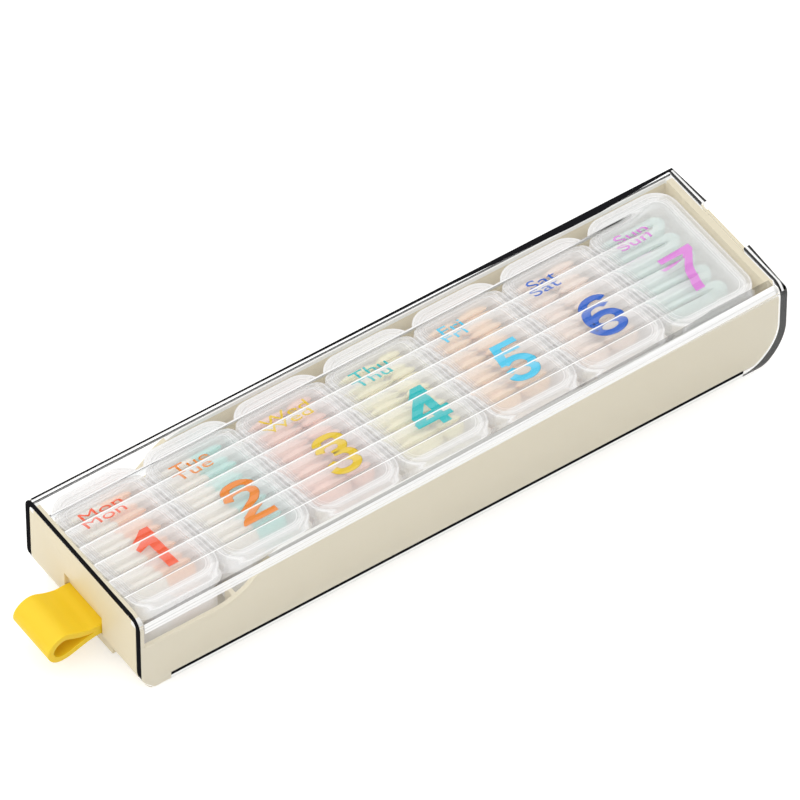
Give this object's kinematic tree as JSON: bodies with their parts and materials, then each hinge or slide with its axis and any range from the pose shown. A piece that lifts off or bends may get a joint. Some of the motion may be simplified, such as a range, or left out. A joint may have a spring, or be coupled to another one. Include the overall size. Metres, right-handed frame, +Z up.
{
  "type": "weekly pill drawer organizer",
  "caption": "Clear fluted sleeve with a cream drawer that slides out by a silicone strap and holds a row of lidded cups for the days of the week.",
  "frame": {"origin": "centre of the sleeve's footprint, on the surface that it rests on", "axes": "+X lengthwise towards the sleeve's closed end (the drawer pulls out along -X), +Y across, +Z up"},
  "size_m": [0.2592, 0.062, 0.036],
  "materials": {
    "clear_shell": "clear glossy polystyrene",
    "cream_plastic": "fine satin",
    "strap_silicone": "soft matte silicone",
    "milky_cup": "frosted translucent polypropylene",
    "pill_gelatin": "satin gelatin and film-coated tablets",
    "milky_lid": "frosted translucent polypropylene"
  },
  "bodies": {
    "sleeve": {"sleeve": "clear_shell"},
    "drawer": {"drawer_tray": "cream_plastic", "pull_strap": "strap_silicone", "cup_mon": "milky_cup", "cup_tue": "milky_cup", "cup_wed": "milky_cup", "cup_thu": "milky_cup", "cup_fri": "milky_cup", "cup_sat": "milky_cup", "cup_sun": "milky_cup", "lid_mon": "milky_lid", "lid_tue": "milky_lid", "lid_wed": "milky_lid", "lid_thu": "milky_lid", "lid_fri": "milky_lid", "lid_sat": "milky_lid", "lid_sun": "milky_lid", "pills_mon": "pill_gelatin", "pills_tue": "pill_gelatin", "pills_wed": "pill_gelatin", "pills_thu": "pill_gelatin", "pills_fri": "pill_gelatin", "pills_sat": "pill_gelatin", "pills_sun": "pill_gelatin"}
  },
  "joints": [
    {"name": "drawer_slide", "type": "slide", "parent": "sleeve", "child": "drawer", "axis": [-1, 0, 0], "range_m": [0, 0.2]}
  ]
}
